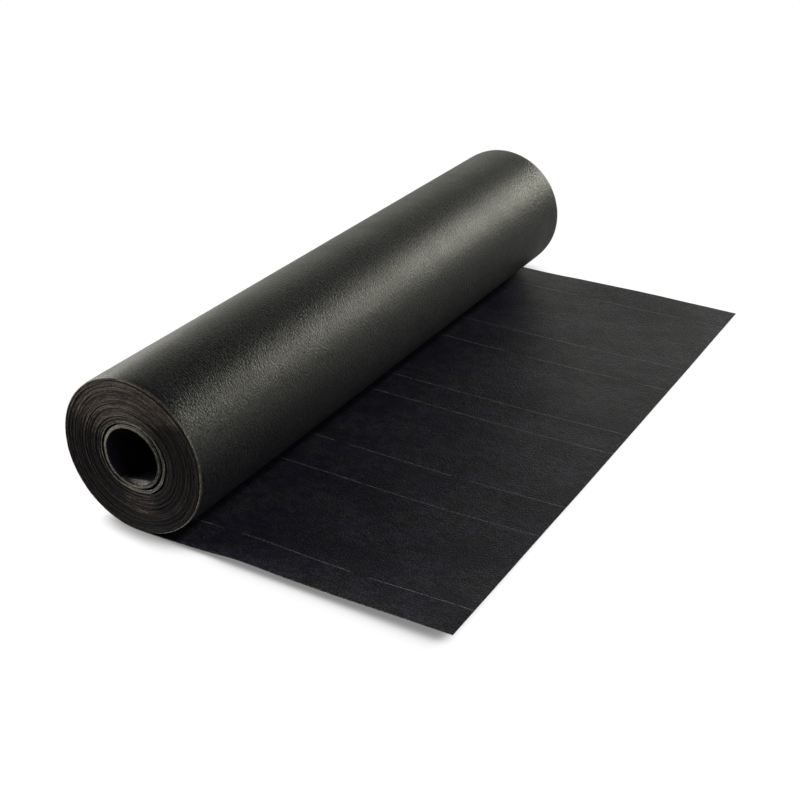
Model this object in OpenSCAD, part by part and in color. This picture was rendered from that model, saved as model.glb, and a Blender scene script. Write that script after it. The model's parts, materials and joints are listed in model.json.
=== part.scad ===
// A roll of saturated roofing felt, lying on its side with its first stretch unrolled.
// It is one piece of stock: the wound turns and the free sheet are a single solid.
// The roll's axis runs along Y, the free sheet runs out along +X, and Z = 0 is the floor.
// All sizes are in millimetres.

/* [Sheet] */
// Width of the sheet, which is also the length of the roll
felt_width = 914.4; // [600:0.1:1200]
// Thickness of the felt
felt_thickness = 1.2; // [0.8:0.1:3]
// Length of free sheet on the floor, from the line where the roll stands to the cut edge
tail_length = 400; // [160:5:1500]

/* [Roll] */
// Radius of the open bore inside the innermost turn
bore_radius = 36; // [20:1:60]
// Number of turns wound tightly around the loose ones
tight_turns = 36; // [12:1:70]
// Air left on average between one tight turn and the next
turn_clearance = 0.11; // [0:0.01:0.3]

/* [Loose inner turns] */
// Number of loose packs of turns, each with an open gap around it
loose_packs = 2; // [0:1:4]
// Turns of felt that lie together in each loose pack
plies_per_pack = 3; // [1:1:4]
// Radial gap between a loose pack and what lies around it
loose_gap = 2.82; // [1:0.01:5]
// How far the loose gaps reach in from each end of the roll
loose_gap_depth = 30; // [5:1:80]

/* [Turns on the ends] */
// Tight turns between one line on the end and the next
turns_per_line = 2; // [2:1:6]
// Width of a line, where two tight turns stand apart
line_width = 0.8; // [0.4:0.1:1.2]
// Depth of a line
line_depth = 2; // [1:0.5:6]
// Furthest that a turn's edge stands back from the roll's end
edge_step = 1.2; // [0:0.1:3]

/* [Hidden] */
$fn = 180;
felt_colour = [0.15, 0.15, 0.145];
half_width = felt_width / 2;

// Radii of the loose packs and of the tight winding around them
turn_pitch = felt_thickness + turn_clearance;
pack_wall = plies_per_pack * felt_thickness;
pack_pitch = pack_wall + loose_gap;
tight_inner_radius = bore_radius + loose_packs * pack_pitch;
roll_radius = tight_inner_radius + tight_turns * turn_pitch;

// The tight winding shows as bands of turns with a line between each two
band_pitch = turns_per_line * turn_pitch;
bands = floor(tight_turns / turns_per_line);

// The frame's origin is on the floor, under the middle of the whole object
overall_length = roll_radius + tail_length;
roll_x = roll_radius - overall_length / 2;

// Each pack or band is [inner radius, outer radius, half length, depth of the gap outside it]
loose_rings = [
    for (i = [0 : 1 : loose_packs - 1])
        let (inner = bore_radius + i * pack_pitch)
        [inner, inner + pack_wall, half_width - (i == 0 ? 0 : stood_back(i)), loose_gap_depth]
];
band_rings = [
    for (i = [0 : bands - 1])
        let (inner = tight_inner_radius + i * band_pitch, last = i == bands - 1)
        [
            inner,
            last ? roll_radius : inner + band_pitch - line_width,
            half_width - (last ? 0 : stood_back(i + loose_packs)),
            line_depth
        ]
];
rings = concat(loose_rings, band_rings);

// How far the edge of one ring stands back, different from its neighbours'
function stood_back(i) = edge_step * (0.5 + 0.5 * sin(137.5 * i));

// One end of the turned outline, from the bore outwards: over each ring, then into the gap outside it
function end_outline(side) = [
    for (i = [0 : len(rings) - 1])
        let (ring = rings[i], floor_height = half_width - ring[3])
        each concat(
            [[ring[0], side * ring[2]], [ring[1], side * ring[2]]],
            i == len(rings) - 1
                ? []
                : [[ring[1], side * floor_height], [rings[i + 1][0], side * floor_height]]
        )
];

function reversed(list) = [for (i = [len(list) - 1 : -1 : 0]) list[i]];

// The wound turns, turned about Z and centred on the origin
module wound_turns() {
    rotate_extrude()
        polygon(concat(end_outline(-1), reversed(end_outline(1))));
}

// The free sheet, which leaves the roll's lowest line as a tangent
module free_sheet() {
    translate([0, -half_width, 0])
        cube([tail_length, felt_width, felt_thickness]);
}

module roofing_felt() {
    color(felt_colour)
        translate([roll_x, 0, 0])
        union() {
            translate([0, 0, roll_radius])
                rotate([90, 0, 0])
                wound_turns();
            free_sheet();
        }
}

roofing_felt();
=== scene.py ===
"""A roll of roofing felt on a plain floor: one sheet wound round an open bore, its free end unrolled."""

import json
import logging
import math
from dataclasses import dataclass, field
from enum import Enum
from typing import Optional, Sequence, Union

import bpy
import numpy as np
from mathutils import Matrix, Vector


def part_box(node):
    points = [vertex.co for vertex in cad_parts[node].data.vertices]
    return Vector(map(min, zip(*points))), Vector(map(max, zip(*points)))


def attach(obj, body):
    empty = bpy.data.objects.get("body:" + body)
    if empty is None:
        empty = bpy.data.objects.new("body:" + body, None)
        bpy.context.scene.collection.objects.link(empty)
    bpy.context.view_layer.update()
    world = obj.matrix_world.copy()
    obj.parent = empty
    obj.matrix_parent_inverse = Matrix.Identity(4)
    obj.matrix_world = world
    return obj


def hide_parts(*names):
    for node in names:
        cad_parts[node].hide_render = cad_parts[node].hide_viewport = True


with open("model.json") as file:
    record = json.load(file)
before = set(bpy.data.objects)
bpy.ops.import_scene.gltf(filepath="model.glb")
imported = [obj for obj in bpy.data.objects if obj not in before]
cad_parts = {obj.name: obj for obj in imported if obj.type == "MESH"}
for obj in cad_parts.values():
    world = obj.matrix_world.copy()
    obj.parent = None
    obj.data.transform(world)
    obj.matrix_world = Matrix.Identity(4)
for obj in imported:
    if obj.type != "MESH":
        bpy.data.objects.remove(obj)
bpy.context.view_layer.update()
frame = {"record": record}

log = logging.getLogger("roofing_felt")

FELT_NODE = "roofing_felt"
BODY = "root"
SHEET_AT = "sheet_at"  # the attribute that holds (along, across, through) the sheet
BAKE_MAP = "OFBake"
MM = 0.001
SHARP_ANGLE = 32.0  # degrees between faces past which an edge is drawn sharp
LOOSE_PASSES = 6  # passes of the sheet that lie loose at the bore
PALE_WAY = (-0.24, 0.0, 0.97)  # the way across the ends towards which the cut edges grow paler, from the roll's axis
SCUFF = (0.006, 0.0, -0.050)  # the middle of the scuffed patch on the ends, from the roll's axis
LINE_HALF = 0.75 * MM  # half the width of a lay line
LINE_REPEAT = 168.0 * MM  # from one gap in a lay line to the next
LINE_GAP = 21.0 * MM  # the long gap, on the other pairs
LINE_BREAK = 3.0 * MM  # the short gap, on every other pair of lines
LINE_DRIFT = 0.008  # how far a line runs off true, towards the near side
NO_TINT = (1.0, 1.0, 1.0, 1.0)

Socket = bpy.types.NodeSocket
Value = Union[float, tuple, Socket]  # a node input's constant, or the socket that drives it


def smoothstep(low: float, high: float, x: np.ndarray) -> np.ndarray:
    """Rises from 0 at low to 1 at high along 3t^2 - 2t^3.

    Args:
        low: Where the rise starts.
        high: Where the rise ends.
        x: The values to ramp.

    Returns:
        The ramped values, of x's shape.
    """
    t = np.clip((np.asarray(x, float) - low) / (high - low), 0.0, 1.0)
    return t * t * (3.0 - 2.0 * t)


def wander(x: np.ndarray, lengths: Sequence[float], seed: int) -> np.ndarray:
    """A smooth curve that wanders about 0: the sum of one sine per length over the root of their number.

    Args:
        x: Where to read the curve.
        lengths: The sines' wavelengths, in x's own unit.
        seed: Picks the sines' phases.

    Returns:
        The curve's values, of x's shape.
    """
    phases = np.random.default_rng(seed).uniform(0.0, 2.0 * np.pi, len(lengths))
    waves = [np.sin(2.0 * np.pi * x / w + p) for w, p in zip(lengths, phases)]
    return np.sum(waves, axis=0) / math.sqrt(len(lengths))


@dataclass(frozen=True)
class RollPlace:
    """Where the roll lies in the frame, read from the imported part. Metres."""

    axis_x: float
    axis_z: float
    radius: float
    bore_radius: float
    half_width: float

    @classmethod
    def from_frame(cls) -> "RollPlace":
        """Reads the place from the CAD node's box and the record's bore mount.

        Returns:
            The roll's place.
        """
        low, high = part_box(FELT_NODE)
        mounts = {m["name"]: m for m in frame["record"]["mounts"]}
        bore = mounts["bore"]
        radius = bore["pos_m"][2]
        return cls(
            axis_x=bore["pos_m"][0],
            axis_z=radius,
            radius=radius,
            bore_radius=bore["dims"]["r_mm"] * MM,
            half_width=(high.y - low.y) / 2.0,
        )


@dataclass(frozen=True)
class Felt:
    """The sheet itself. Metres."""

    thickness: float = 1.2 * MM
    edge_round: float = 0.30 * MM  # how far the cut edge's corners are worn back


@dataclass(frozen=True)
class Pocket:
    """A stretch of open gap under one pass of the sheet, in degrees round the roll and metres."""

    under_pass: int
    start: float
    end: float
    depth: float
    fade: float = 40.0

    def opening(self, angle: np.ndarray) -> np.ndarray:
        """The gap at each unwound angle: depth times a smooth rise at start and fall at end.

        Args:
            angle: Unwound angles in degrees, 0 where the first pass crosses the roll's right side.

        Returns:
            The gap in metres, of angle's shape.
        """
        start = self.start + 360.0 * self.under_pass
        end = self.end + 360.0 * self.under_pass
        rise = smoothstep(start, start + self.fade, angle)
        fall = 1.0 - smoothstep(end - self.fade, end, angle)
        return self.depth * rise * fall


LOOSE_POCKETS = (
    Pocket(1, -75.0, 5.0, 0.55 * MM),
    Pocket(3, -90.0, 262.0, 2.8 * MM, 38.0),
    Pocket(3, 40.0, 145.0, -1.1 * MM, 40.0),
    Pocket(3, -40.0, 60.0, 0.45 * MM, 50.0),
    Pocket(6, -80.0, 70.0, 2.8 * MM, 50.0),
    Pocket(6, 60.0, 225.0, 0.8 * MM, 50.0),
    Pocket(9, -70.0, -10.0, 0.3 * MM, 25.0),
    Pocket(8, 100.0, 190.0, 0.45 * MM, 25.0),
    Pocket(12, -50.0, 25.0, 0.2 * MM, 25.0),
    Pocket(15, 108.0, 155.0, 0.4 * MM, 18.0),
    Pocket(17, -82.0, 62.0, 0.85 * MM, 40.0),
    Pocket(18, 95.0, 185.0, 0.3 * MM, 30.0),
    Pocket(20, -75.0, -30.0, 0.3 * MM, 18.0),
    Pocket(22, -72.0, 40.0, 0.5 * MM, 35.0),
    Pocket(27, -64.0, -4.0, 0.4 * MM, 22.0),
    Pocket(30, -68.0, 2.0, 0.6 * MM, 25.0),
    Pocket(31, 118.0, 180.0, 0.5 * MM, 22.0),
    Pocket(34, -52.0, 18.0, 0.3 * MM, 25.0),
    Pocket(36, 122.0, 205.0, 0.4 * MM, 25.0),
    Pocket(38, -72.0, 12.0, 0.8 * MM, 30.0),
)


@dataclass
class Winding:
    """The sheet's passes round the bore, each lying on the one inside it. Angles in degrees.

    The sheet starts at start_angle in the bore and runs outwards anticlockwise, seen from the near end,
    to the line where the roll stands, at -90.
    """

    place: RollPlace
    felt: Felt
    passes: int = 42
    steps: int = 96  # columns of points in a full turn
    start_angle: float = -120.0
    tip_inset: float = 1.3 * MM  # how far the inner end lies inside the bore's radius
    pockets: Sequence[Pocket] = LOOSE_POCKETS

    def __post_init__(self) -> None:
        """Works out the inner radius at every column once."""
        self.step = 360.0 / self.steps
        self.phase = self.start_angle + self.step * np.arange(self.steps + 1)
        self.columns = int(round((360.0 * self.passes - 90.0 - self.start_angle) / self.step)) + 1
        self.angle = self.start_angle + self.step * np.arange(self.columns)
        self.inner = self._inner_radii()
        spans = np.diff(np.radians(self.angle))
        self.along = np.concatenate([[0.0], np.cumsum((self.inner[1:] + self.inner[:-1]) / 2 * spans)])

    def outline(self, turn: np.ndarray) -> np.ndarray:
        """The outer surface's radius over the last turn: it gains one thickness, mostly at the start.

        Args:
            turn: How far through the last turn, from 0 to 1, where both are the line on the floor.

        Returns:
            The outer radius in metres.
        """
        return self.place.radius - self.felt.thickness * (1.0 - turn) ** 3

    def _inner_radii(self) -> np.ndarray:
        """Stacks the passes: each inner radius is the one below plus a thickness, slack and pockets.

        Returns:
            The inner radius at every column, from the inner end to the line on the floor.
        """
        rows = self.passes + 1
        unwound = self.phase[None, :] + 360.0 * np.arange(1, rows)[:, None]
        pocket = np.sum([p.opening(unwound) for p in self.pockets], axis=0)
        share = 1.0 + 0.75 * wander(unwound, (95.0, 143.0, 211.0, 333.0), seed=11)
        share = np.clip(share, 0.12, None)
        thick = self.felt.thickness
        # The columns up to the floor line carry one pass more than the rest.
        more = self.phase <= -90.0 + 1e-6
        turn = np.where(more, (self.phase + 450.0) / 360.0, (self.phase + 90.0) / 360.0)
        outer = self.outline(turn)
        count = np.where(more, rows, rows - 1)
        used = np.arange(1, rows)[:, None] < count[None, :]
        tip = self.place.bore_radius - self.tip_inset
        slack = (outer[0] - tip - count[0] * thick - (pocket * used)[:, 0].sum()) / (
            share * used
        )[:, 0].sum()
        lip = tip + thick + slack * share[0, 0] + pocket[0, 0]
        first = tip + (lip - tip) * smoothstep(-60.0, 15.0, self.phase)
        slack = (outer - first - count * thick - (pocket * used).sum(0)) / (share * used).sum(0)
        log.info("slack between turns %.3f to %.3f mm", slack.min() / MM, slack.max() / MM)
        growth = np.cumsum(thick + slack[None, :] * share + pocket, axis=0)
        radii = np.vstack([first[None, :], first[None, :] + growth])
        return radii[:, : self.steps].ravel()[: self.columns]

    def stretch(self, first: int, last: int) -> "Stretch":
        """The columns from first to last of the wound sheet.

        Args:
            first: The first column.
            last: The last column, included.

        Returns:
            The stretch.
        """
        part = slice(first, last + 1)
        return Stretch(np.radians(self.angle[part]), self.inner[part], self.along[part])


@dataclass(frozen=True)
class Stretch:
    """A run of columns of the wound sheet: angle in radians, inner radius and length so far."""

    angle: np.ndarray
    inner: np.ndarray
    along: np.ndarray


@dataclass(frozen=True)
class EdgeWear:
    """How the turns' edges stand at the roll's ends. Metres."""

    place: RollPlace
    drift: float = 0.55 * MM  # how far a turn's edge wanders along the roll
    rag: float = 0.09 * MM
    proud: tuple = (2.7 * MM, 4.6 * MM)  # how far the turns have slid out at the near and far ends
    crush: float = 0.75 * MM  # how far handling has pressed the outer turns in at the ends
    crush_reach: float = 3.6 * MM

    def shift(self, angle: np.ndarray, side: int) -> np.ndarray:
        """How far a turn's edge stands out of the roll's end: slow drift plus a fine rag.

        Args:
            angle: Unwound angles in radians.
            side: -1 for the near end and 1 for the far one.

        Returns:
            The offset along the roll's axis, positive outwards.
        """
        turns = angle / (2.0 * np.pi)
        slow = wander(turns, (1.37, 2.9, 5.3, 11.0), seed=21)
        fine = wander(turns, (0.031, 0.047, 0.083, 0.019), seed=22 + side)
        return self.drift * (side * slow - 1.0) + self.rag * fine + self.proud[side > 0]

    def press(self, radius: np.ndarray, depth: np.ndarray) -> np.ndarray:
        """How far a point is pressed inwards: crush times exp(-depth / reach), growing with radius squared.

        Args:
            radius: Distance from the axis, shape (columns, 1).
            depth: Distance from the nearer end, shape (stations,).

        Returns:
            The radial shift, shape (columns, stations).
        """
        span = self.place.radius - self.place.bore_radius
        share = np.clip((radius - self.place.bore_radius) / span, 0.0, 1.0) ** 2
        return self.crush * share * np.exp(-depth[None, :] / self.crush_reach)


@dataclass(frozen=True)
class Stations:
    """Distances across the sheet, as shares from -1 at the near edge to 1 at the far one."""

    share: np.ndarray

    @classmethod
    def graded(cls, half_width: float, near: Sequence[float], count: int) -> "Stations":
        """Stations at the given distances in from both edges, and evenly between them.

        Args:
            half_width: Half the sheet's width, in metres.
            near: Distances in from each edge, in metres, the last one starting the even run.
            count: How many even steps fill the middle.

        Returns:
            The stations.
        """
        ends = np.array([0.0, *near]) / half_width
        middle = np.linspace(-1.0 + ends[-1], 1.0 - ends[-1], count + 1)
        return cls(np.unique(np.round(np.concatenate([-1.0 + ends, middle, 1.0 - ends]), 9)))


class Zone(Enum):
    """The faces of a piece of sheet, each with a finish and a place on the bake map."""

    INNER = 0
    FAR_EDGE = 1
    OUTER = 2
    NEAR_EDGE = 3
    CUT = 4


# The material slot of each zone, in the zones' order: printed face 0, plain face 1, cut edge 2.
ZONE_MATERIALS = np.array([0, 2, 1, 2, 2], np.int32)


@dataclass(frozen=True)
class MapRect:
    """A rectangle on the bake map, from (u0, v0) to (u1, v1)."""

    u0: float
    v0: float
    u1: float
    v1: float

    def place(self, s: np.ndarray, t: np.ndarray) -> np.ndarray:
        """Where (s, t), each 0 to 1, lies on the map: linear between the corners.

        Args:
            s: Share along the sheet.
            t: Share across it.

        Returns:
            Map coordinates, with a last axis of 2.
        """
        return np.stack([self.u0 + (self.u1 - self.u0) * s, self.v0 + (self.v1 - self.v0) * t], -1)


SHEET_RECTS = {
    Zone.INNER: MapRect(0.004, 0.004, 0.455, 0.996),
    Zone.OUTER: MapRect(0.462, 0.004, 0.913, 0.996),
    Zone.NEAR_EDGE: MapRect(0.920, 0.004, 0.945, 0.996),
    Zone.FAR_EDGE: MapRect(0.952, 0.004, 0.977, 0.996),
    Zone.CUT: MapRect(0.984, 0.004, 0.996, 0.996),
}
EDGE_RECTS = {
    Zone.NEAR_EDGE: MapRect(0.004, 0.504, 0.496, 0.996),
    Zone.FAR_EDGE: MapRect(0.504, 0.504, 0.996, 0.996),
    Zone.INNER: MapRect(0.004, 0.254, 0.996, 0.496),
    Zone.OUTER: MapRect(0.004, 0.014, 0.996, 0.246),
    Zone.CUT: MapRect(0.004, 0.002, 0.996, 0.010),
}


@dataclass
class Slab:
    """A closed piece of sheet between an inner and an outer surface, given as grids of points.

    Each column of the grid is one closed ring of points: across the inner surface, round the far edge,
    back across the outer surface and round the near edge. The rings are joined in order, and the first and
    last are capped.
    """

    name: str
    inner: np.ndarray  # (columns, stations, 3)
    outer: np.ndarray
    along: np.ndarray  # (columns,)
    across: np.ndarray  # (stations,)
    felt: Felt
    flat_edges: bool = False  # lay the edges out on the bake map as seen from the roll's ends

    def _rim(self, station: int, outwards: float) -> np.ndarray:
        """Two points per column that stand proud of an edge's corners, one near each surface.

        Args:
            station: The station at that edge, 0 or -1.
            outwards: -1 or 1, the way out of the sheet along Y.

        Returns:
            Points of shape (columns, 2, 3), from the inner surface to the outer.
        """
        worn = self.felt.edge_round / self.felt.thickness
        a, b = self.inner[:, station], self.outer[:, station]
        rim = np.stack([a + (b - a) * worn, a + (b - a) * (1.0 - worn)], axis=1)
        rim[..., 1] += outwards * self.felt.edge_round
        return rim

    def build(self) -> bpy.types.Object:
        """Makes the mesh object, with its zones, attribute and bake map.

        Returns:
            The object, at the origin.
        """
        n, m = self.inner.shape[:2]
        far, near = self._rim(-1, 1.0), self._rim(0, -1.0)
        rings = np.concatenate([self.inner, far, self.outer[:, ::-1], near[:, ::-1]], axis=1)
        size = rings.shape[1]
        through = np.concatenate([np.zeros(m), [0.2, 0.8], np.ones(m), [0.8, 0.2]])
        near_y, far_y = [self.across[0]] * 2, [self.across[-1]] * 2
        y_share = np.concatenate([self.across, far_y, self.across[::-1], near_y])
        at = np.stack(np.broadcast_arrays(self.along[:, None], y_share[None, :], through[None, :]), -1)

        i, k = np.meshgrid(np.arange(n - 1), np.arange(size), indexing="ij")
        k1 = (k + 1) % size
        quads = np.stack([i * size + k, (i + 1) * size + k, (i + 1) * size + k1, i * size + k1], -1)
        ring_zone = np.concatenate(
            [
                np.full(m - 1, Zone.INNER.value),
                np.full(3, Zone.FAR_EDGE.value),
                np.full(m - 1, Zone.OUTER.value),
                np.full(3, Zone.NEAR_EDGE.value),
            ]
        )
        zones = np.broadcast_to(ring_zone[None, :], (n - 1, size))
        uv = self._side_map(n, m, size)
        cap_quads, cap_uv = self._caps(n, m, size)
        faces = np.concatenate([quads.reshape(-1, 4), cap_quads])
        loops_uv = np.concatenate([uv.reshape(-1, 4, 2), cap_uv])
        zone = np.concatenate([zones.ravel(), np.full(len(cap_quads), Zone.CUT.value)])
        points = rings.reshape(-1, 3)
        a, b, c = points[faces[:, 0]], points[faces[:, 1]], points[faces[:, 2]]
        d = points[faces[:, 3]]
        volume = (a * np.cross(b, c)).sum() + (a * np.cross(c, d)).sum()
        if volume < 0.0:
            faces, loops_uv = faces[:, ::-1], loops_uv[:, ::-1]
        return self._mesh(points, faces, zone, loops_uv, at.reshape(-1, 3))

    def _side_map(self, n: int, m: int, size: int) -> np.ndarray:
        """Bake-map places of the quads between rings, each zone spread over its own rectangle.

        Args:
            n: Number of columns; not used.
            m: Number of stations; not used.
            size: Points in a ring; not used.

        Returns:
            Map coordinates of shape (columns - 1, ring, 4, 2).
        """
        rects = EDGE_RECTS if self.flat_edges else SHEET_RECTS
        s = (self.along - self.along[0]) / (self.along[-1] - self.along[0])
        t = (self.across - self.across[0]) / (self.across[-1] - self.across[0])
        worn = np.array([0.0, 0.25, 0.75, 1.0])
        spans = (
            (Zone.INNER, t),
            (Zone.FAR_EDGE, worn),
            (Zone.OUTER, t[::-1]),
            (Zone.NEAR_EDGE, worn[::-1]),
        )
        parts = []
        for zone, steps in spans:
            rect = rects[zone]
            s0, s1 = np.broadcast_arrays(s[:-1, None], steps[None, :-1])[0], s[1:, None]
            s1 = np.broadcast_to(s1, s0.shape)
            t0 = np.broadcast_to(steps[None, :-1], s0.shape)
            t1 = np.broadcast_to(steps[None, 1:], s0.shape)
            if zone in (Zone.NEAR_EDGE, Zone.FAR_EDGE) and not self.flat_edges:
                corner = [rect.place(t0, s0), rect.place(t0, s1), rect.place(t1, s1), rect.place(t1, s0)]
            elif zone in (Zone.NEAR_EDGE, Zone.FAR_EDGE):
                corner = self._flat_edge(rect, zone, steps)
            else:
                corner = [rect.place(s0, t0), rect.place(s1, t0), rect.place(s1, t1), rect.place(s0, t1)]
            parts.append(np.stack(corner, axis=2))
        return np.concatenate(parts, axis=1)

    def _flat_edge(self, rect: MapRect, zone: Zone, steps: np.ndarray) -> list[np.ndarray]:
        """Lays an edge's quads on the map as the roll's end shows them: place is (x, z) over the roll's box.

        Args:
            rect: The rectangle to fill.
            zone: NEAR_EDGE or FAR_EDGE.
            steps: Shares of the thickness where the quads' corners lie, inner first.

        Returns:
            The four corners' map coordinates.
        """
        station = 0 if zone is Zone.NEAR_EDGE else -1
        a, b = self.inner[:, station][:, [0, 2]], self.outer[:, station][:, [0, 2]]
        low = np.minimum(self.inner[..., [0, 2]].min((0, 1)), self.outer[..., [0, 2]].min((0, 1)))
        high = np.maximum(self.inner[..., [0, 2]].max((0, 1)), self.outer[..., [0, 2]].max((0, 1)))
        flat = a[:, None] + (b - a)[:, None] * steps[None, :, None]
        share = (flat - low) / (high - low)
        spot = rect.place(share[..., 0], share[..., 1])
        return [spot[:-1, :-1], spot[1:, :-1], spot[1:, 1:], spot[:-1, 1:]]

    def _caps(self, n: int, m: int, size: int) -> tuple:
        """Quads that close the first and last ring, from the inner surface to the outer.

        Args:
            n: Number of columns.
            m: Number of stations.
            size: Points in a ring.

        Returns:
            The quads, shape (count, 4), and their map coordinates, shape (count, 4, 2).
        """
        rects = EDGE_RECTS if self.flat_edges else SHEET_RECTS
        rect = rects[Zone.CUT]
        inner = np.concatenate([[size - 1], np.arange(m), [m]])
        outer = np.concatenate([[size - 2], size - 3 - np.arange(m), [m + 1]])
        ring = np.stack([inner[:-1], inner[1:], outer[1:], outer[:-1]], -1)
        first, last = ring, (ring + (n - 1) * size)[:, ::-1]
        t = np.linspace(0.0, 1.0, m + 2)
        wide = rect.u1 - rect.u0 < rect.v1 - rect.v0
        spots = []
        for half, order in ((0.0, (0, 1, 2, 3)), (0.5, (3, 2, 1, 0))):
            low, high = np.full(m + 1, half + 0.02), np.full(m + 1, half + 0.48)
            ends = [(low, t[:-1]), (low, t[1:]), (high, t[1:]), (high, t[:-1])]
            corner = [rect.place(a, b) if wide else rect.place(b, a) for a, b in ends]
            spots.append(np.stack([corner[j] for j in order], axis=1))
        return np.concatenate([first, last]), np.concatenate(spots)

    def _mesh(
        self, points: np.ndarray, faces: np.ndarray, zone: np.ndarray, uv: np.ndarray, at: np.ndarray
    ) -> bpy.types.Object:
        """Puts the arrays into a Blender mesh.

        Args:
            points: Vertex positions.
            faces: Quads as vertex indices.
            zone: Each face's zone value.
            uv: Bake-map coordinates per face corner.
            at: The sheet_at attribute per vertex.

        Returns:
            The object.
        """
        mesh = bpy.data.meshes.new(self.name)
        mesh.vertices.add(len(points))
        mesh.vertices.foreach_set("co", points.astype(np.float32).ravel())
        mesh.loops.add(faces.size)
        mesh.loops.foreach_set("vertex_index", faces.astype(np.int32).ravel())
        mesh.polygons.add(len(faces))
        mesh.polygons.foreach_set("loop_start", np.arange(0, faces.size, 4, dtype=np.int32))
        mesh.update(calc_edges=True)
        layer = mesh.uv_layers.new(name=BAKE_MAP)
        layer.uv.foreach_set("vector", uv.astype(np.float32).ravel())
        attribute = mesh.attributes.new(SHEET_AT, "FLOAT_VECTOR", "POINT")
        attribute.data.foreach_set("vector", at.astype(np.float32).ravel())
        slots = ZONE_MATERIALS[zone]
        mesh.polygons.foreach_set("material_index", slots)
        mesh.polygons.foreach_set("use_smooth", np.ones(len(faces), bool))
        mesh.set_sharp_from_angle(angle=math.radians(SHARP_ANGLE))
        mesh.validate()
        piece = bpy.data.objects.new(self.name, mesh)
        bpy.context.scene.collection.objects.link(piece)
        return piece


@dataclass
class WoundSheet:
    """The wound part of the felt: the inner end, the turns between and the outer turn."""

    place: RollPlace
    felt: Felt
    winding: Winding
    wear: EdgeWear
    flap_reach: float = 5.5 * MM  # the inner end is pressed flat to the bore this far in
    flap_far: float = 0.35  # how much of the chord is left at the far end
    chord_foot: float = -79.2  # degrees round the bore where the chord is nearest the axis
    chord_distance: float = 29.2 * MM  # from the axis to the chord
    chord_fade: tuple = (-45.0, -34.0)  # degrees over which the chord meets the turn again
    wave_lift: float = 0.045 * MM

    def _points(self, stretch: Stretch, stations: Stations, lift: Optional[np.ndarray]) -> tuple:
        """Both surfaces of a stretch: radius turned by the angle in XZ, stations along Y.

        Args:
            stretch: The columns.
            stations: The stations across.
            lift: Radial offsets of both surfaces, shape (columns, stations), or None.

        Returns:
            The inner grid, the outer grid and the stations' places along Y.
        """
        half = self.place.half_width
        y = stations.share * half
        depth = half - np.abs(y)
        round_off = self.felt.edge_round
        shift = {s: self.wear.shift(stretch.angle, s) for s in (-1, 1)}
        low = -half - shift[-1] + round_off
        high = half + shift[1] - round_off
        y_grid = low[:, None] + (high - low)[:, None] * (stations.share[None, :] + 1.0) / 2.0
        grids = []
        for extra in (0.0, self.felt.thickness):
            radius = stretch.inner[:, None] + extra
            radius = radius - self.wear.press(stretch.inner[:, None], depth)
            if lift is not None:
                radius = radius + lift
            radius = np.broadcast_to(radius, y_grid.shape)
            cos, sin = np.cos(stretch.angle)[:, None], np.sin(stretch.angle)[:, None]
            x, z = self.place.axis_x + radius * cos, self.place.axis_z + radius * sin
            grids.append(np.stack([x, y_grid, z], -1))
        return grids[0], grids[1], y

    def _slab(
        self,
        name: str,
        stretch: Stretch,
        stations: Stations,
        lift: Optional[np.ndarray] = None,
        flat_edges: bool = False,
    ) -> Slab:
        """A slab for a stretch of the wound sheet.

        Args:
            name: The piece's name.
            stretch: The columns.
            stations: The stations across.
            lift: Radial offsets, or None.
            flat_edges: Whether the edges lie on the bake map as seen from the roll's ends.

        Returns:
            The slab.
        """
        inner, outer, y = self._points(stretch, stations, lift)
        return Slab(name, inner, outer, stretch.along, y, self.felt, flat_edges)

    def inner_end(self) -> Slab:
        """The innermost turn, whose loose inner end lies across the bore as a chord.

        The chord's radius is its distance from the axis over the cosine of the angle from its foot. At the
        near mouth the end is pressed back to the bore, over flap_reach.

        Returns:
            The slab.
        """
        stretch = self.winding.stretch(0, self.winding.steps)
        half = self.place.half_width
        near = [d * MM for d in (0.5, 1.2, 2.0, 2.8, 3.6, 4.4, 5.1, 5.8, 7.0, 10.0, 20.0, 50.0)]
        stations = Stations.graded(half, near, 16)
        from_foot = stretch.angle - math.radians(self.chord_foot)
        near_foot = np.abs(from_foot) < math.radians(60.0)
        chord = self.chord_distance / np.cos(np.where(near_foot, from_foot, 0.0))
        drop = np.where(near_foot, np.clip(stretch.inner - chord, 0.0, None), 0.0)
        drop *= 1.0 - smoothstep(*np.radians(self.chord_fade), stretch.angle)
        from_near = (stations.share + 1.0) * half
        held = smoothstep(0.0, self.flap_reach, from_near)
        held *= 1.0 - (1.0 - self.flap_far) * smoothstep(0.3, 1.0, from_near / (2.0 * half))
        lift = -drop[:, None] * held[None, :]
        return self._slab("felt_inner_end", stretch, stations, lift)

    def middle_turns(self) -> Slab:
        """All the turns between the innermost and the outermost.

        Returns:
            The slab.
        """
        steps = self.winding.steps
        stretch = self.winding.stretch(steps, self.winding.columns - 1 - steps)
        stations = Stations.graded(self.place.half_width, (3.0 * MM, 8.0 * MM, 20.0 * MM), 1)
        return self._slab("felt_wound_turns", stretch, stations, flat_edges=True)

    def outer_turn(self) -> Slab:
        """The outermost turn, which ends on the floor line, with slight long waves along the roll.

        Returns:
            The slab.
        """
        steps = self.winding.steps
        last = self.winding.columns - 1
        stretch = self.winding.stretch(last - steps, last)
        near = [d * MM for d in (1.5, 3.5, 6.0, 10.0, 16.0, 26.0)]
        stations = Stations.graded(self.place.half_width, near, 56)
        turn = np.linspace(0.0, 1.0, steps + 1)[:, None]
        y = stations.share[None, :] * self.place.half_width
        wave = wander(y + 0.15 * turn, (0.37, 0.61, 0.23), seed=31) * 0.5
        wave = wave + wander(y - 0.11 * turn + 0.4, (0.19, 0.29), seed=32) * 0.25
        lift = self.wave_lift * (wave + 0.8) * np.sin(np.pi * turn) ** 0.7
        return self._slab("felt_outer_turn", stretch, stations, lift)


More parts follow.
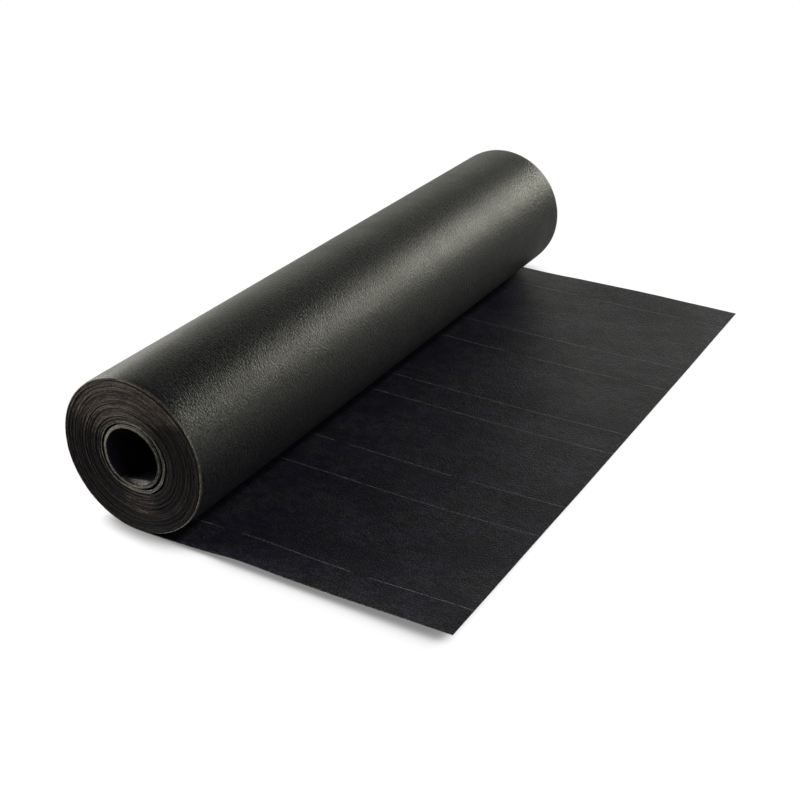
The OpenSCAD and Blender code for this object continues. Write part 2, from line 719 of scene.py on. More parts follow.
@dataclass
class FreeEnd:
    """The unrolled end of the sheet, flat on the floor but for lifts at its edges. Metres."""

    place: RollPlace
    felt: Felt
    winding: Winding
    wear: EdgeWear
    length: float = 398.4 * MM
    skew: float = 0.0141  # the sheet runs off square by this slope
    # Where the edges lie off the floor, in millimetres: distances, and the lift at each.
    near_x: tuple = (
        0, 20, 40, 60, 85, 100, 118, 134, 150, 166, 181, 197, 212, 227, 257, 287, 316, 344, 372, 398,
    )
    near_lift: tuple = (
        0, 0.4, 1.0, 1.6, 2.6, 3.7, 5.6, 6.7, 6.8, 6.6, 6.3, 6.0, 6.1, 6.4, 6.9, 7.8, 8.8, 10.0, 10.7, 11.6,
    )
    far_x: tuple = (0, 60, 100, 140, 200, 240, 280, 320, 360, 400)
    far_lift: tuple = (0, 0.4, 0.9, 2.0, 2.6, 3.1, 2.9, 2.2, 1.9, 1.4)
    cut_y: tuple = (-457, -350, -228, 0, 228, 457)
    cut_lift: tuple = (7.6, 6.4, 4.8, 3.2, 2.6, 1.3)
    cut_reach: tuple = (4.0, 2.6, 1.7, 1.5, 1.2, 0.0)  # how much longer the sheet is there than its length
    ridge_height: float = 0.9 * MM
    swell_height: float = 0.25 * MM
    ease: float = 0.04  # how far from the floor line the skew takes to set in
    fine_run: float = 0.02  # the stretch before the cut that has closer columns

    def _lift(self, x: np.ndarray, y: np.ndarray) -> np.ndarray:
        """The underside's height: edge profiles that die away inwards, a cut end that curls, and a ridge.

        Args:
            x: Distance from the floor line, shape (columns, 1).
            y: Distance across from the middle, shape (1, stations).

        Returns:
            Heights of shape (columns, stations).
        """
        half = self.place.half_width
        from_near, from_far = y + half, half - y
        near = np.interp(x, np.array(self.near_x) * MM, np.array(self.near_lift) * MM)
        far = np.interp(x, np.array(self.far_x) * MM, np.array(self.far_lift) * MM)
        cut = np.interp(y, np.array(self.cut_y) * MM, np.array(self.cut_lift) * MM)
        bulge = np.exp(-(((x - 0.13) / 0.045) ** 2))
        reach = 0.042 + 0.02 * bulge + 0.045 * smoothstep(0.22, 0.4, x)
        near_share = np.exp(-((from_near / reach) ** 1.15))
        far_share = np.exp(-((from_far / 0.07) ** 1.5))
        curl = smoothstep(self.length - 0.20, self.length + 0.06, x) ** 1.3 * 1.35
        height = near * near_share + far * far_share + cut * curl * (1.0 - near_share) * (1.0 - far_share)
        run = np.clip((x - 0.085) / 0.20, 0.0, 1.0)
        ridge_at = 0.006 + 0.056 * run
        ridge = np.exp(-(((from_near - ridge_at) / 0.012) ** 2)) * np.sin(np.pi * run) ** 0.8
        height = height + self.ridge_height * ridge
        swell = wander(x + 0.3 * y, (0.21, 0.34), seed=41) * wander(y, (0.27, 0.43), seed=42)
        height = height + self.swell_height * (swell + 0.6) * smoothstep(0.05, 0.2, x)
        return np.clip(height, 0.0, None)

    def slab(self) -> Slab:
        """The free end from the floor line to the cut.

        Returns:
            The slab.
        """
        half = self.place.half_width
        near = [d * MM for d in (1.5, 4.0, 8.0, 13.0, 19.0, 26.0, 34.0, 43.0, 53.0, 64.0, 78.0)]
        stations = Stations.graded(half, near, 52)
        plain_run = self.length - self.fine_run
        fine = plain_run + np.linspace(0.0, self.fine_run, 9)[1:]
        x = np.concatenate([np.linspace(0.0, plain_run, 120), fine])
        angle = math.radians(self.winding.angle[-1]) + x / self.place.radius
        shift = {s: self.wear.shift(angle, s) for s in (-1, 1)}
        settle = np.exp(-((x / 0.07) ** 2))
        low = -half - shift[-1] * settle + self.felt.edge_round
        high = half + shift[1] * settle - self.felt.edge_round
        y = low[:, None] + (high - low)[:, None] * (stations.share[None, :] + 1.0) / 2.0
        skewed = y - self.skew * (x - self.ease * (1.0 - np.exp(-x / self.ease)))[:, None]
        height = self._lift(x[:, None], stations.share[None, :] * half)
        slope = np.gradient(height, x, axis=0)
        longer = np.interp(stations.share * half, np.array(self.cut_y) * MM, np.array(self.cut_reach) * MM)
        across = self.place.axis_x + x[:, None] + longer[None, :] * smoothstep(0.1, self.length, x)[:, None]
        press = self.wear.press(np.array([[self.place.radius]]), half - np.abs(stations.share) * half)
        height = height + press * np.exp(-x / 0.03)[:, None]
        under = np.stack([across, skewed, height], -1)
        lean = self.felt.thickness * slope
        over = under + np.stack([-lean, np.zeros_like(lean), np.full_like(lean, self.felt.thickness)], -1)
        along = self.winding.along[-1] + x
        return Slab("felt_free_end", over, under, along, stations.share * half, self.felt)


class Graph:
    """A thin hand on a node tree: adds nodes with their inputs set or linked in one call."""

    def __init__(self, tree: bpy.types.NodeTree) -> None:
        """Takes the tree to add to."""
        self.tree = tree

    def add(self, kind: str, settings: Optional[dict] = None, **inputs: Value) -> bpy.types.Node:
        """Adds a node.

        Args:
            kind: The node's type name.
            settings: Attributes to set on the node.
            **inputs: Inputs by name, spaces as underscores, or by index as i0, i1; a value or a socket.

        Returns:
            The node.
        """
        node = self.tree.nodes.new(kind)
        for key, value in (settings or {}).items():
            setattr(node, key, value)
        for key, value in inputs.items():
            at_index = key[0] == "i" and key[1:].isdigit()
            socket = node.inputs[int(key[1:])] if at_index else node.inputs[key.replace("_", " ")]
            if isinstance(value, Socket):
                self.tree.links.new(value, socket)
            elif socket.name == "Normal":
                self.tree.links.new(self.direction(value), socket)
            else:
                socket.default_value = value
        return node

    def direction(self, way: tuple) -> Socket:
        """A constant unit vector."""
        parts = self.add("ShaderNodeCombineXYZ", None, X=way[0], Y=way[1], Z=way[2]).outputs[0]
        return self.vector("NORMALIZE", parts)

    def math(self, operation: str, a: Value, b: Value = 0.0, clamp: bool = False) -> Socket:
        """A Math node's result."""
        return self.add("ShaderNodeMath", {"operation": operation, "use_clamp": clamp}, i0=a, i1=b).outputs[0]

    def times(self, a: Value, b: Value) -> Socket:
        """Two numbers' product."""
        return self.math("MULTIPLY", a, b)

    def plus(self, a: Value, b: Value) -> Socket:
        """Two numbers' sum."""
        return self.math("ADD", a, b)

    def minus(self, a: Value, b: Value) -> Socket:
        """The first number less the second."""
        return self.math("SUBTRACT", a, b)

    def larger(self, a: Value, b: Value) -> Socket:
        """The larger of two numbers."""
        return self.math("MAXIMUM", a, b)

    def vector(self, operation: str, a: Value, b: Value = (0.0, 0.0, 0.0)) -> Socket:
        """A Vector Math node's result, which is a number for a dot product or a length."""
        node = self.add("ShaderNodeVectorMath", {"operation": operation}, i0=a, i1=b)
        return node.outputs[1 if operation in ("DOT_PRODUCT", "LENGTH") else 0]

    def scaled(self, vector: Value, by: tuple) -> Socket:
        """A vector times a constant one, part by part."""
        return self.vector("MULTIPLY", vector, by)

    def off_axis(self, vector: Value) -> Socket:
        """A vector's length in the plane of the roll's ends, X and Z."""
        return self.vector("LENGTH", self.scaled(vector, (1.0, 0.0, 1.0)))

    def parts(self, vector: Value) -> tuple:
        """A vector's X, Y and Z."""
        return tuple(self.add("ShaderNodeSeparateXYZ", None, Vector=vector).outputs)

    def noise(self, vector: Value, detail: float, rough: float) -> Socket:
        """The value of a noise texture with features about one unit across."""
        node = self.add("ShaderNodeTexNoise", None, Vector=vector, Scale=1.0, Detail=detail, Roughness=rough)
        return node.outputs[0]

    def ramp(
        self, value: Value, low: float, high: float, to_low: Value = 0.0, to_high: Value = 1.0
    ) -> Socket:
        """A smooth Map Range's result."""
        return self.add(
            "ShaderNodeMapRange",
            {"interpolation_type": "SMOOTHSTEP"},
            Value=value,
            From_Min=low,
            From_Max=high,
            To_Min=to_low,
            To_Max=to_high,
        ).outputs[0]

    def mix(self, factor: Value, a: Value, b: Value) -> Socket:
        """Adds a colour Mix.

        Args:
            factor: How much of b there is, 0 to 1.
            a: The first colour.
            b: The second colour.

        Returns:
            The mixed colour.
        """
        node = self.add("ShaderNodeMix", {"data_type": "RGBA"})
        for index, value in ((0, factor), (6, a), (7, b)):
            if isinstance(value, Socket):
                self.tree.links.new(value, node.inputs[index])
            else:
                node.inputs[index].default_value = value
        return node.outputs[2]


def new_group(name: str, inputs: Sequence[tuple], outputs: Sequence[tuple]) -> tuple:
    """Makes a shader node group with named sockets.

    Args:
        name: The group's name.
        inputs: (name, kind, default or None) of each input.
        outputs: (name, kind) of each output.

    Returns:
        The graph, the group's input node and its output node.
    """
    tree = bpy.data.node_groups.new(name, "ShaderNodeTree")
    for socket_name, kind, default in inputs:
        socket = tree.interface.new_socket(socket_name, in_out="INPUT", socket_type=f"NodeSocket{kind}")
        if default is not None:
            socket.default_value = default
    for socket_name, kind in outputs:
        tree.interface.new_socket(socket_name, in_out="OUTPUT", socket_type=f"NodeSocket{kind}")
    return Graph(tree), tree.nodes.new("NodeGroupInput"), tree.nodes.new("NodeGroupOutput")


def fibre_group() -> bpy.types.NodeTree:
    """The felt's surface: fibres drawn out along the sheet, blotches of asphalt, lint and specks.

    Fibres are noise stretched two or three to one along the sheet, in two sizes, with an even grit; blotches
    and clumps are broad noise; lint is the bright tail of a long thin noise and specks that of a round one.

    Returns:
        The group; Sheet is metres along, across and through.
    """
    graph, inside, out = new_group(
        "felt_fibres",
        [("Sheet", "Vector", None)],
        [("Fibre", "Float"), ("Blotch", "Float"), ("Clump", "Float"), ("Lint", "Float"), ("Height", "Float")],
    )
    sheet = inside.outputs["Sheet"]
    bent = graph.add("ShaderNodeTexNoise", None, Vector=sheet, Scale=60.0, Detail=1.0).outputs[1]
    bent = graph.scaled(bent, (0.0, 0.006, 0.0))
    sheet_bent = graph.vector("ADD", sheet, bent)
    coarse = graph.noise(graph.scaled(sheet_bent, (110.0, 330.0, 1.0)), 2.0, 0.6)
    fine = graph.noise(graph.scaled(sheet_bent, (290.0, 680.0, 1.0)), 1.0, 0.5)
    grit = graph.noise(graph.scaled(sheet, (480.0, 480.0, 1.0)), 1.0, 0.5)
    fibre = graph.plus(graph.times(coarse, 0.25), graph.times(fine, 0.35))
    fibre = graph.plus(fibre, graph.times(grit, 0.40))
    blotch = graph.noise(graph.scaled(sheet, (9.0, 14.0, 1.0)), 4.0, 0.6)
    thread = graph.noise(graph.scaled(sheet_bent, (70.0, 900.0, 1.0)), 1.0, 0.4)
    speck = graph.noise(graph.scaled(sheet, (330.0, 330.0, 1.0)), 0.0, 0.5)
    lint = graph.larger(graph.ramp(thread, 0.70, 0.80), graph.ramp(speck, 0.76, 0.84, 0.0, 0.8))
    links = graph.tree.links
    links.new(graph.ramp(fibre, 0.38, 0.62), out.inputs["Fibre"])
    links.new(graph.ramp(blotch, 0.3, 0.7), out.inputs["Blotch"])
    clump = graph.noise(graph.scaled(sheet_bent, (60.0, 95.0, 1.0)), 3.0, 0.65)
    links.new(graph.ramp(clump, 0.36, 0.64), out.inputs["Clump"])
    links.new(lint, out.inputs["Lint"])
    links.new(fibre, out.inputs["Height"])
    return graph.tree


def chalk_line_group() -> bpy.types.NodeTree:
    """One broken lay line across the sheet's width: 1 on the line, 0 off it and in its gaps.

    The distance from the line is faded over its half width, and a gap comes once in every repeat along it.

    Returns:
        The group.
    """
    graph, inside, out = new_group(
        "lay_line",
        [
            ("Sheet", "Vector", None),
            ("Across", "Float", 0.0),
            ("Gap at", "Float", 0.0),
            ("Gap", "Float", 0.02),
        ],
        [("Mask", "Float")],
    )
    along, across, _ = graph.parts(inside.outputs["Sheet"])
    shake = graph.noise(graph.scaled(inside.outputs["Sheet"], (14.0, 0.0, 0.0)), 2.0, 0.5)
    centre = graph.plus(inside.outputs["Across"], graph.times(shake, 0.0016))
    past = graph.minus(along, inside.outputs["Gap at"])
    centre = graph.minus(centre, graph.times(past, LINE_DRIFT))
    off = graph.math("ABSOLUTE", graph.minus(across, centre))
    stroke = graph.ramp(off, LINE_HALF * 0.35, LINE_HALF, 1.0, 0.0)
    phase = graph.math("FRACT", graph.math("DIVIDE", past, LINE_REPEAT))
    share = graph.math("DIVIDE", inside.outputs["Gap"], LINE_REPEAT)
    after = graph.math("DIVIDE", graph.minus(phase, share), 0.05, clamp=True)
    opened = graph.larger(after, graph.ramp(phase, 0.0, 0.02, 1.0, 0.0))
    graph.tree.links.new(graph.times(stroke, opened), out.inputs["Mask"])
    return graph.tree


@dataclass(frozen=True)
class LayLine:
    """A broken line printed along the sheet, for lining up the next course. Metres."""

    across: float
    gap_at: float
    gap: float


@dataclass(frozen=True)
class LayLines:
    """The sheet's lay lines, in pairs about its middle; a pair's gaps are half a repeat apart. Metres."""

    offsets: tuple = (27.0 * MM, 170.0 * MM, 241.0 * MM, 403.0 * MM)
    centre: float = -5.5 * MM
    first_gap: float = 79.0 * MM

    def all(self, start: float) -> list[LayLine]:
        """Every line, from the pair at the middle outwards, near side first in each pair.

        Args:
            start: The length along the sheet where its free end leaves the floor line.

        Returns:
            The lines.
        """
        found = []
        for number, offset in enumerate(self.offsets):
            for side in (-1, 1):
                in_step = (number + (side > 0)) % 2
                gap_at = start + self.first_gap + (0.0 if in_step else LINE_REPEAT / 2.0)
                gap = LINE_GAP if number % 2 else LINE_BREAK
                found.append(LayLine(self.centre + side * offset, gap_at, gap))
        return found


@dataclass(frozen=True)
class FeltFinish:
    """Asphalt-soaked felt's colours and shine; colours are linear RGB."""

    dark: tuple = (0.0009, 0.0009, 0.0034, 1.0)  # the plain face between its fibres
    light: tuple = (0.0105, 0.0103, 0.0128, 1.0)
    printed_dark: tuple = (0.0070, 0.0064, 0.0125, 1.0)
    printed_light: tuple = (0.0410, 0.0372, 0.0570, 1.0)
    printed_warm: tuple = (0.0385, 0.0372, 0.0395, 1.0)
    lint: tuple = (0.075, 0.070, 0.060, 1.0)
    chalk: tuple = (0.22, 0.215, 0.205, 1.0)
    frayed_and_highlight: tuple = (0.115, 0.110, 0.078, 1.0)  # the plain face's last few millimetres at both edges: frayed fibres and a painted rim highlight
    mouth: tuple = (0.065, 0.061, 0.054, 1.0)  # painted light on the inner end at the bore's mouths
    painted_contact_shade: tuple = (0.0006, 0.0006, 0.0014, 1.0)  # painted shade along the line where the sheet leaves the roll
    cut_dark: tuple = (0.0068, 0.0062, 0.0088, 1.0)
    cut_light: tuple = (0.480, 0.378, 0.300, 1.0)
    cut_pale: tuple = (0.780, 0.735, 0.610, 1.0)
    printed_shine: float = 0.20
    rough_low: float = 0.33
    rough_high: float = 0.39
    edge_shine: float = 0.22
    plain_tint: tuple = (1.0, 0.995, 0.87, 1.0)
    grain: float = 0.10 * MM  # the bump's depth, before each face's own factor


@dataclass
class FeltSkin:
    """The three materials of the felt: plain face, face with lay lines and cut edge."""

    finish: FeltFinish
    lines: Sequence[LayLine]
    axis: tuple  # a point on the roll's axis
    loose_run: float  # the sheet's length in the loose turns at the bore
    outer_run: float  # the length where the outermost turn starts
    leave_run: float  # the length where the sheet leaves the roll
    half_width: float
    fibres: bpy.types.NodeTree = field(init=False)
    line: bpy.types.NodeTree = field(init=False)
    materials: list = field(init=False)

    def __post_init__(self) -> None:
        """Makes the shared groups, then the materials in the order of ZONE_MATERIALS, once each."""
        self.fibres = fibre_group()
        self.line = chalk_line_group()
        self.materials = [self.face(True), self.face(False), self.edge()]

    def _start(self, name: str) -> tuple:
        """A material with the sheet's coordinates and the shared fibres.

        Args:
            name: The material's name.

        Returns:
            The material, its graph, the coordinate socket and the fibre group's node.
        """
        material = bpy.data.materials.new(name)
        material.use_nodes = True
        material.node_tree.nodes.clear()
        graph = Graph(material.node_tree)
        at = graph.add("ShaderNodeAttribute", {"attribute_name": SHEET_AT}).outputs["Vector"]
        fibres = graph.add("ShaderNodeGroup", {"node_tree": self.fibres}, Sheet=at)
        return material, graph, at, fibres

    def _finish(
        self,
        graph: Graph,
        colour: Value,
        rough: Value,
        height: Value,
        depth: float,
        tint: tuple,
        shine: Value,
    ) -> None:
        """Adds the bump, the shader and the output.

        Args:
            graph: The material's graph.
            colour: The base colour.
            rough: The roughness.
            height: The bump's height.
            depth: The bump's depth in metres.
            tint: Colour of the reflection.
            shine: The strength of the reflection at a right angle, 0.5 for a common one.
        """
        bump = graph.add("ShaderNodeBump", None, Height=height, Distance=depth, Strength=1.0)
        shader = graph.add(
            "ShaderNodeBsdfPrincipled",
            None,
            Base_Color=colour,
            Roughness=rough,
            Normal=bump.outputs[0],
            IOR=1.5,
            Specular_IOR_Level=shine,
            Specular_Tint=tint,
        )
        graph.add("ShaderNodeOutputMaterial", None, Surface=shader.outputs[0])

    def _line_mask(self, graph: Graph, at: Socket) -> Socket:
        """All the lay lines together: the largest of their masks.

        Args:
            graph: The material's graph.
            at: The sheet's coordinates.

        Returns:
            1 on a line and 0 off them all.
        """
        mask = None
        for line in self.lines:
            place = {"Across": line.across, "Gap_at": line.gap_at, "Gap": line.gap}
            one = graph.add("ShaderNodeGroup", {"node_tree": self.line}, Sheet=at, **place).outputs[0]
            mask = one if mask is None else graph.larger(mask, one)
        return mask

    def face(self, printed: bool) -> bpy.types.Material:
        """The felt's face: near black, with lighter fibres, blotches and lint.

        Args:
            printed: True for the side with the lay lines.

        Returns:
            The material.
        """
        finish = self.finish
        name = "felt_printed_face" if printed else "felt_plain_face"
        material, graph, at, fibres = self._start(name)
        fibre, blotch = fibres.outputs["Fibre"], fibres.outputs["Blotch"]
        clump = fibres.outputs["Clump"]
        tone = graph.times(fibre, graph.ramp(blotch, 0.0, 1.0, 0.4, 1.12))
        tone = graph.times(tone, graph.ramp(clump, 0.0, 1.0, 0.5, 1.35))
        dark, light = finish.dark, finish.light
        if printed:
            hue = graph.ramp(graph.noise(graph.scaled(at, (22.0, 30.0, 1.0)), 2.0, 0.5), 0.42, 0.62)
            dark, light = finish.printed_dark, graph.mix(hue, finish.printed_light, finish.printed_warm)
        colour = graph.mix(tone, dark, light)
        colour = graph.mix(graph.times(fibres.outputs["Lint"], 0.55), colour, finish.lint)
        if printed:
            worn = graph.times(self._line_mask(graph, at), graph.ramp(fibre, 0.1, 0.9, 0.35, 0.95))
            colour = graph.mix(worn, colour, finish.chalk)
        rough = graph.ramp(blotch, 0.0, 1.0, finish.rough_high, finish.rough_low)
        if printed:
            rough = graph.plus(rough, graph.ramp(fibre, 0.0, 1.0, 0.04, -0.04))
        along, across, _ = graph.parts(at)
        across = graph.math("ABSOLUTE", across)
        leave, half = self.leave_run, self.half_width
        if printed:
            # Painted shade: the free end is darkened for its first 45 to 56 millimetres past the floor line,
            # under the roll.
            past_contact_shade = graph.ramp(along, leave + 45.0 * MM, leave + 56.0 * MM, 0.8, 0.0)
            contact_shade = graph.times(past_contact_shade, graph.ramp(along, leave - 2.0 * MM, leave))
            # Painted light: the inner end is paler close to both mouths of the bore.
            mouth = graph.ramp(across, half - 7.5 * MM, half - 4.5 * MM)
            mouth = graph.times(mouth, graph.ramp(along, 0.06, 0.08, 0.8, 0.0))
            colour = graph.mix(mouth, colour, finish.mouth)
        else:
            # Painted shade: the outer face is darkened from about 8 centimetres before the floor line on,
            # under the roll.
            contact_shade = graph.ramp(along, leave - 92.0 * MM, leave - 76.0 * MM, 0.0, 0.7)
            # Frayed fibres and a painted highlight along both edges of the plain face.
            frayed_and_highlight = graph.ramp(across, half - 3.2 * MM, half - 0.5 * MM)
            frayed_and_highlight = graph.times(frayed_and_highlight, graph.ramp(fibre, 0.0, 0.8, 0.25, 0.9))
            colour = graph.mix(frayed_and_highlight, colour, finish.frayed_and_highlight)
        # Darkens the colour with the painted contact shade.
        colour = graph.mix(contact_shade, colour, finish.painted_contact_shade)
        tint = NO_TINT if printed else finish.plain_tint
        depth = finish.grain * (13.0 if printed else 11.0)
        shine = finish.printed_shine
        if not printed:
            shine = graph.ramp(fibre, 0.0, 1.0, 0.34, 0.68)
            # The painted contact shade also dims the shine.
            shine = graph.times(shine, graph.minus(1.0, contact_shade))
        self._finish(graph, colour, rough, fibres.outputs["Height"], depth, tint, shine)
        return material

    def edge(self) -> bpy.types.Material:
        """The cut edge: torn fibres, brown-grey towards the top of the roll's ends and near black towards the
        bottom, in smeared blotches; pale at the loose turns, with a painted highlight from the outermost turn
        on.

        Returns:
            The material.
        """
        finish = self.finish
        material, graph, at, _ = self._start("felt_cut_edge")
        long = graph.noise(graph.scaled(at, (95.0, 95.0, 2.0)), 4.0, 0.7)
        short = graph.noise(graph.scaled(at, (420.0, 420.0, 3.5)), 2.0, 0.6)
        run, _, through = graph.parts(at)
        centre = graph.math("ABSOLUTE", graph.minus(through, 0.5))
        rim = graph.ramp(centre, 0.2, 0.46, 1.0, 0.04)
        per_turn = graph.noise(graph.scaled(at, (4.5, 0.0, 0.4)), 2.0, 0.7)
        tone = graph.times(graph.ramp(long, 0.38, 0.62, 0.1, 1.25), graph.ramp(short, 0.41, 0.60, 0.0, 1.5))
        tone = graph.times(tone, graph.ramp(per_turn, 0.41, 0.58, 0.08, 2.0))
        place = graph.add("ShaderNodeTexCoord").outputs["Object"]
        smear = graph.noise(graph.scaled(place, (16.0, 2.0, 24.0)), 3.0, 0.6)
        from_axis = graph.vector("SUBTRACT", place, self.axis)
        up = graph.vector("DOT_PRODUCT", from_axis, PALE_WAY)
        facing = graph.math("DIVIDE", up, graph.off_axis(from_axis))
        facing = graph.plus(facing, graph.times(graph.minus(smear, 0.5), 0.9))
        # The cut edges are paler towards the top of the ends and darker towards the bottom.
        paleness = graph.ramp(facing, 0.45, 0.98, 0.13, 1.15)
        from_scuff = graph.vector("SUBTRACT", from_axis, SCUFF)
        scuff = graph.ramp(graph.off_axis(from_scuff), 10.0 * MM, 34.0 * MM, 0.52, 0.0)
        paleness = graph.larger(paleness, scuff)
        loose = graph.ramp(run, self.loose_run - 0.05, self.loose_run, 1.0, 0.0)
        # Painted highlight: from the outermost turn on, the cut edges are paler, as if their worn corners
        # caught the light; the loose turns at the bore are pale in their own colour.
        outermost = graph.ramp(run, self.outer_run, self.outer_run + 0.05, 0.0, 0.6)
        loose = graph.larger(loose, outermost)
        tone = graph.times(tone, rim)
        colour = graph.mix(graph.times(tone, paleness), finish.cut_dark, finish.cut_light)
        pale = graph.times(loose, graph.ramp(paleness, 0.1, 0.9, 0.8, 2.6))
        colour = graph.mix(graph.times(tone, pale), colour, finish.cut_pale)
        rough = graph.ramp(short, 0.2, 0.8, 0.6, 0.8)
        self._finish(graph, colour, rough, short, finish.grain * 5.0, NO_TINT, finish.edge_shine)
        return material

    def dress(self, piece: bpy.types.Object) -> None:
        """Puts the materials on a piece in the order its faces name them: inner, outer, edge."""
        for material in self.materials:
            piece.data.materials.append(material)


@dataclass(frozen=True)
class SoftLight:
    """A rectangular light: direction in degrees, distance and size in metres, and power per area."""

    name: str
    azimuth: float  # from +Y towards +X
    elevation: float
    distance: float
    width: float
    height: float
    power: float
    colour: tuple

    def add(self, aim: Vector) -> None:
        """Adds the light, facing aim.

        Args:
            aim: The point to face.
        """
        a, e = math.radians(self.azimuth), math.radians(self.elevation)
        way = Vector((math.sin(a) * math.cos(e), math.cos(a) * math.cos(e), math.sin(e)))
        data = bpy.data.lights.new(self.name, "AREA")
        data.shape = "RECTANGLE"
        data.size, data.size_y = self.width, self.height
        data.energy = self.power * self.width * self.height * math.pi
        data.color = self.colour
        lamp = bpy.data.objects.new(self.name, data)
        bpy.context.scene.collection.objects.link(lamp)
        lamp.location = aim + way * self.distance
        lamp.rotation_euler = (-way).to_track_quat("-Z", "Y").to_euler()
        lamp.visible_camera = False


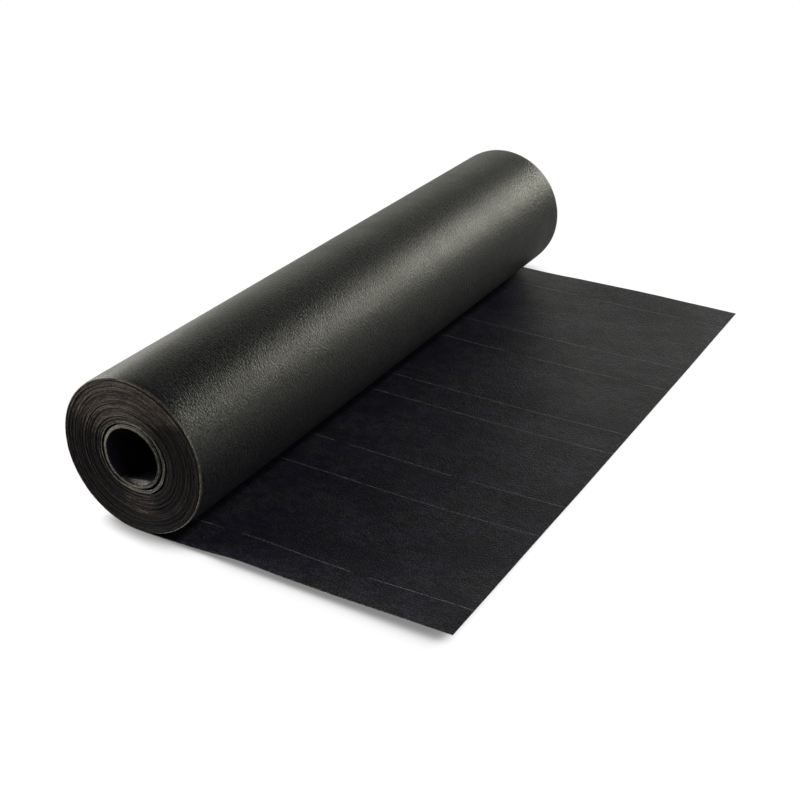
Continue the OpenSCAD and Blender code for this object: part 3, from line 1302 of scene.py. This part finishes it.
@dataclass
class Studio:
    """The floor, the lights, the surroundings and the camera."""

    place: RollPlace
    floor_size: float = 60.0
    floor_white: tuple = (0.54, 0.54, 0.54, 1.0)
    shade_reach: float = 0.046  # how far from the felt the camera sees a painted shadow on the floor
    shade_way: tuple = (0.50, 0.45, 0.78)  # where the painted floor shadow's soft light seems to come from, at the right
    shade_left: float = -0.25  # its X part at the roll's left
    horizon: tuple = (0.84, 0.835, 0.75, 1.0)
    overhead: tuple = (0.03, 0.032, 0.038, 1.0)
    dimmed: tuple = (0.03, 0.032, 0.040, 1.0)  # the surroundings at the front and at the right
    backdrop: tuple = (1.2, 1.2, 1.2, 1.0)  # what the camera sees of them
    camera_at: tuple = (0.8965, -1.4183, 0.8488)  # from the point on the floor below the roll's middle
    camera_azimuth: float = 30.12
    camera_elevation: float = 28.03
    lens: float = 60.885  # millimetres, on a sensor of sensor_width
    sensor_width: float = 36.0
    lit_point: tuple = (0.0, 0.0, 0.05)  # what the lights face
    lights: tuple = (
        SoftLight("key_back_right", 18.5, 19.8, 4.0, 2.0, 1.2, 6.2, (1.0, 0.99, 0.88)),
        SoftLight("rim_back_left", -67.0, 10.0, 4.0, 1.8, 1.2, 3.2, (1.0, 0.99, 0.90)),
        SoftLight("fill_front_left", -112.0, 18.0, 4.0, 2.4, 1.8, 8.0, (1.0, 0.98, 0.95)),
        SoftLight("fill_right", 94.0, 27.0, 4.0, 2.4, 2.4, 4.1, (0.96, 0.97, 1.0)),
    )

    def floor(self) -> bpy.types.Object:
        """A wide pale floor at z = 0 that the roll stands on; the camera sees it white, with a painted soft
        shadow round the felt.

        Returns:
            The floor.
        """
        half = self.floor_size / 2.0
        corners = [(-half, -half, 0), (half, -half, 0), (half, half, 0), (-half, half, 0)]
        mesh = bpy.data.meshes.new("floor")
        mesh.from_pydata(corners, [], [(0, 1, 2, 3)])
        floor = bpy.data.objects.new("floor", mesh)
        bpy.context.scene.collection.objects.link(floor)
        material = bpy.data.materials.new("white_floor")
        material.use_nodes = True
        material.node_tree.nodes.clear()
        graph = Graph(material.node_tree)
        seen = graph.add("ShaderNodeLightPath").outputs["Is Camera Ray"]
        x, y, _ = graph.parts(graph.add("ShaderNodeTexCoord").outputs["Object"])
        right, ahead, up = self.shade_way
        # The painted shadow leans left beside the roll, right past the cut edge, and away behind the roll.
        tilt = graph.ramp(x, -0.27, 0.02, self.shade_left, right)
        tilt = graph.plus(tilt, graph.ramp(x, 0.228, 0.258, 0.0, 1.6))
        reach = graph.ramp(x, -0.24, 0.02, 0.38 * self.shade_reach, self.shade_reach)
        behind = graph.times(graph.ramp(y, 0.44, 0.49), graph.ramp(x, -0.03, 0.02, 1.0, 0.0))
        tilt = graph.minus(tilt, graph.times(behind, 0.75))
        ahead = graph.minus(ahead, graph.times(behind, 0.75))
        way = graph.add("ShaderNodeCombineXYZ", None, X=tilt, Y=ahead, Z=up).outputs[0]
        # Painted shadow: ambient occlusion along a tilted normal darkens the white the camera sees.
        close = graph.add("ShaderNodeAmbientOcclusion", {"samples": 16}, Distance=reach, Normal=way)
        low = graph.ramp(x, -0.25, -0.08, 0.42, 0.235)
        shade = graph.ramp(close.outputs["AO"], 0.26, 1.0, low, 1.02)
        white = graph.add("ShaderNodeEmission", None, Color=(1.0, 1.0, 1.0, 1.0), Strength=shade)
        pale = graph.add("ShaderNodeBsdfDiffuse", None, Color=self.floor_white)
        both = graph.add("ShaderNodeMixShader", None, i0=seen, i1=pale.outputs[0], i2=white.outputs[0])
        graph.add("ShaderNodeOutputMaterial", None, Surface=both.outputs[0])
        mesh.materials.append(material)
        return floor

    def surroundings(self) -> None:
        """A pale horizon that darkens overhead, to the front and to the right, and is white to the camera."""
        world = bpy.data.worlds.new("white_room")
        bpy.context.scene.world = world
        world.use_nodes = True
        world.node_tree.nodes.clear()
        graph = Graph(world.node_tree)
        way = graph.add("ShaderNodeTexCoord").outputs["Generated"]
        side, back, up = graph.parts(way)
        high = graph.ramp(up, 0.2, 0.66)
        colour = graph.mix(high, self.horizon, self.overhead)
        front = graph.ramp(back, -0.75, 0.25, 0.88, 0.0)
        right = graph.ramp(side, 0.42, 0.85, 0.0, 0.8)
        dim = graph.larger(front, right)
        colour = graph.mix(dim, colour, self.dimmed)
        light = graph.add("ShaderNodeBackground", None, Color=colour)
        seen = graph.add("ShaderNodeBackground", None, Color=self.backdrop)
        path = graph.add("ShaderNodeLightPath").outputs["Is Camera Ray"]
        both = graph.add("ShaderNodeMixShader", None, i0=path, i1=light.outputs[0], i2=seen.outputs[0])
        graph.add("ShaderNodeOutputWorld", None, Surface=both.outputs[0])

    def camera(self) -> None:
        """The camera, at its own place and turned by its azimuth and elevation."""
        data = bpy.data.cameras.new("camera")
        data.lens, data.sensor_width = self.lens, self.sensor_width
        camera = bpy.data.objects.new("camera", data)
        scene = bpy.context.scene
        scene.collection.objects.link(camera)
        camera.location = Vector(self.camera_at) + Vector((self.place.axis_x, 0.0, 0.0))
        pitch, turn = math.radians(90.0 - self.camera_elevation), math.radians(self.camera_azimuth)
        camera.rotation_euler = (pitch, 0.0, turn)
        scene.camera = camera

    def build(self) -> None:
        """Sets the whole studio up."""
        floor = self.floor()
        self.surroundings()
        for light in self.lights:
            light.add(Vector(self.lit_point))
        self.camera()
        scene = bpy.context.scene
        scene.view_settings.view_transform = "Standard"
        scene.view_settings.look = "None"
        scene.view_settings.exposure = 0.0
        scene.view_settings.gamma = 1.0


def main() -> None:
    """Builds the roll's pieces, dresses them and sets the studio up."""
    logging.basicConfig(level=logging.INFO, format="%(name)s: %(message)s")
    place = RollPlace.from_frame()
    felt = Felt()
    wear = EdgeWear(place)
    winding = Winding(place, felt)
    wound = WoundSheet(place, felt, winding, wear)
    free = FreeEnd(place, felt, winding, wear)
    leave = float(winding.along[-1])
    loose_end = LOOSE_PASSES * winding.steps + 8  # the column where the loose turns end, below the axis
    skin = FeltSkin(
        FeltFinish(),
        LayLines().all(leave),
        axis=(place.axis_x, 0.0, place.axis_z),
        loose_run=float(winding.along[loose_end]),
        outer_run=float(winding.along[-1] - 2.0 * math.pi * place.radius),
        leave_run=leave,
        half_width=place.half_width,
    )
    for slab in (wound.inner_end(), wound.middle_turns(), wound.outer_turn(), free.slab()):
        piece = slab.build()
        skin.dress(piece)
        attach(piece, BODY)
        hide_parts(FELT_NODE)
        log.info("%s: %d faces", piece.name, len(piece.data.polygons))
    log.info("sheet length %.2f m", winding.along[-1] + free.length)
    Studio(place).build()


if __name__ == "__main__":
    main()
